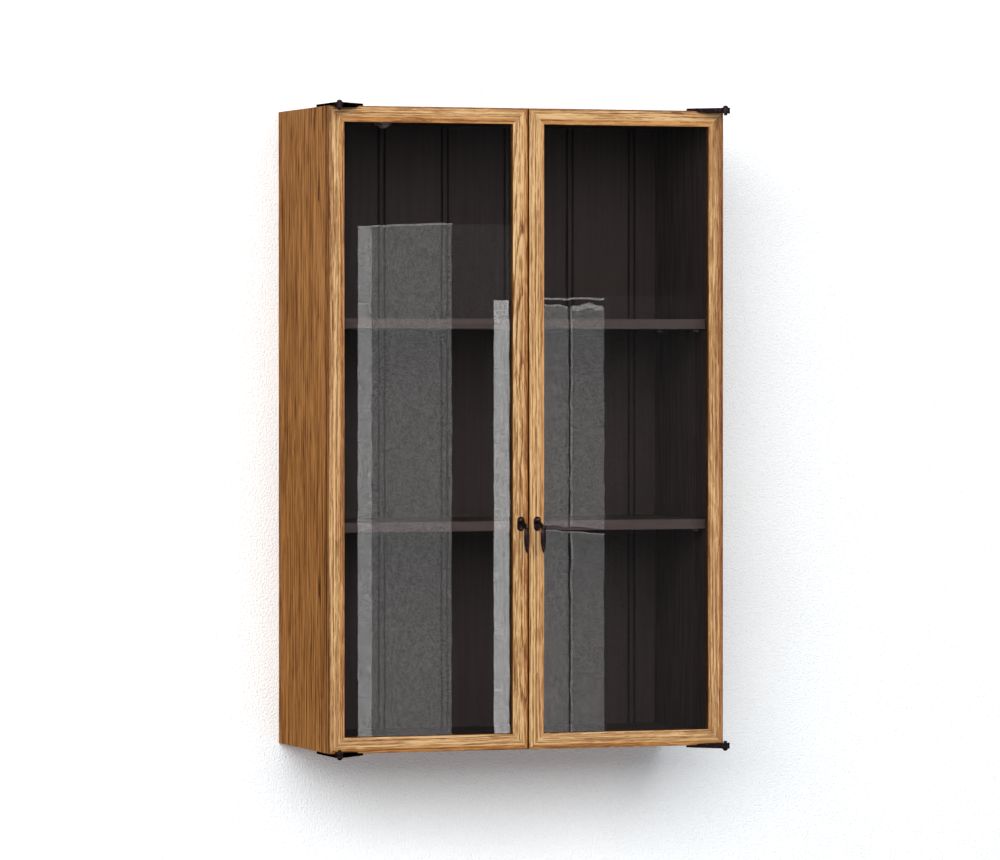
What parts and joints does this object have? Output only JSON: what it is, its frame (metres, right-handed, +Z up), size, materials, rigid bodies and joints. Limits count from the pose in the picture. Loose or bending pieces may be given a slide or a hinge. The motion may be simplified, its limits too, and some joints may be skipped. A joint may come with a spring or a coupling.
{
  "type": "wall mounted showcase",
  "caption": "Upright wall cabinet for display, with mitred oak framed glass doors on corner pivot hinges, a dark grooved back, dark shelves and drop pulls.",
  "frame": {"origin": "middle of the hanging rail's rear face, which bears on the wall", "axes": "+X to the viewer's right, +Y into the wall, +Z up"},
  "size_m": [0.783, 0.3597, 1.2186],
  "materials": {
    "oak": "satin lacquered oak",
    "dark_stain": "dark brown stained board",
    "clear_glass": "clear float glass",
    "dark_bronze": "dark patina",
    "plated_steel": "nickel plated",
    "brown_plastic": "moulded",
    "frosted_lens": "frosted"
  },
  "bodies": {
    "case": {"left_side": "oak", "right_side": "oak", "top_panel": "oak", "bottom_panel": "oak", "back_panel": "dark_stain", "hanging_rail": "oak", "upper_shelf": "dark_stain", "upper_shelf_pin_left_front": "plated_steel", "upper_shelf_pin_left_rear": "plated_steel", "upper_shelf_pin_right_front": "plated_steel", "upper_shelf_pin_right_rear": "plated_steel", "lower_shelf": "dark_stain", "lower_shelf_pin_left_front": "plated_steel", "lower_shelf_pin_left_rear": "plated_steel", "lower_shelf_pin_right_front": "plated_steel", "lower_shelf_pin_right_rear": "plated_steel", "lamp_housing": "dark_bronze", "lamp_lens": "frosted_lens", "magnetic_catch": "brown_plastic", "left_upper_case_leaf": "dark_bronze", "left_upper_hinge_pin": "dark_bronze", "left_lower_case_leaf": "dark_bronze", "left_lower_hinge_pin": "dark_bronze", "right_upper_case_leaf": "dark_bronze", "right_upper_hinge_pin": "dark_bronze", "right_lower_case_leaf": "dark_bronze", "right_lower_hinge_pin": "dark_bronze"},
    "left_door": {"left_outer_stile": "oak", "left_meeting_stile": "oak", "left_top_rail": "oak", "left_bottom_rail": "oak", "left_outer_glazing_bead": "oak", "left_meeting_glazing_bead": "oak", "left_top_glazing_bead": "oak", "left_bottom_glazing_bead": "oak", "left_glass": "clear_glass", "left_upper_door_leaf": "dark_bronze", "left_lower_door_leaf": "dark_bronze", "left_strike_plate": "plated_steel", "left_pull_backplate": "dark_bronze", "left_pull_post": "dark_bronze", "left_pull_pin": "dark_bronze"},
    "right_door": {"right_outer_stile": "oak", "right_meeting_stile": "oak", "right_top_rail": "oak", "right_bottom_rail": "oak", "right_outer_glazing_bead": "oak", "right_meeting_glazing_bead": "oak", "right_top_glazing_bead": "oak", "right_bottom_glazing_bead": "oak", "right_glass": "clear_glass", "right_upper_door_leaf": "dark_bronze", "right_lower_door_leaf": "dark_bronze", "right_strike_plate": "plated_steel", "right_pull_backplate": "dark_bronze", "right_pull_post": "dark_bronze", "right_pull_pin": "dark_bronze"},
    "left_pull": {"left_pull_drop": "dark_bronze"},
    "right_pull": {"right_pull_drop": "dark_bronze"}
  },
  "joints": [
    {"name": "left_door_hinge", "type": "hinge", "parent": "case", "child": "left_door", "pos_m": [-0.3823, -0.3512, 0], "axis": [0, 0, -1], "range_deg": [0, 180]},
    {"name": "right_door_hinge", "type": "hinge", "parent": "case", "child": "right_door", "pos_m": [0.3823, -0.3512, 0], "axis": [0, 0, 1], "range_deg": [0, 180]},
    {"name": "left_pull_swing", "type": "hinge", "parent": "left_door", "child": "left_pull", "pos_m": [-0.0165, -0.3528, -0.7227], "axis": [-1, 0, 0], "range_deg": [-38, 100]},
    {"name": "right_pull_swing", "type": "hinge", "parent": "right_door", "child": "right_pull", "pos_m": [0.0165, -0.3528, -0.7227], "axis": [-1, 0, 0], "range_deg": [-38, 100]}
  ]
}
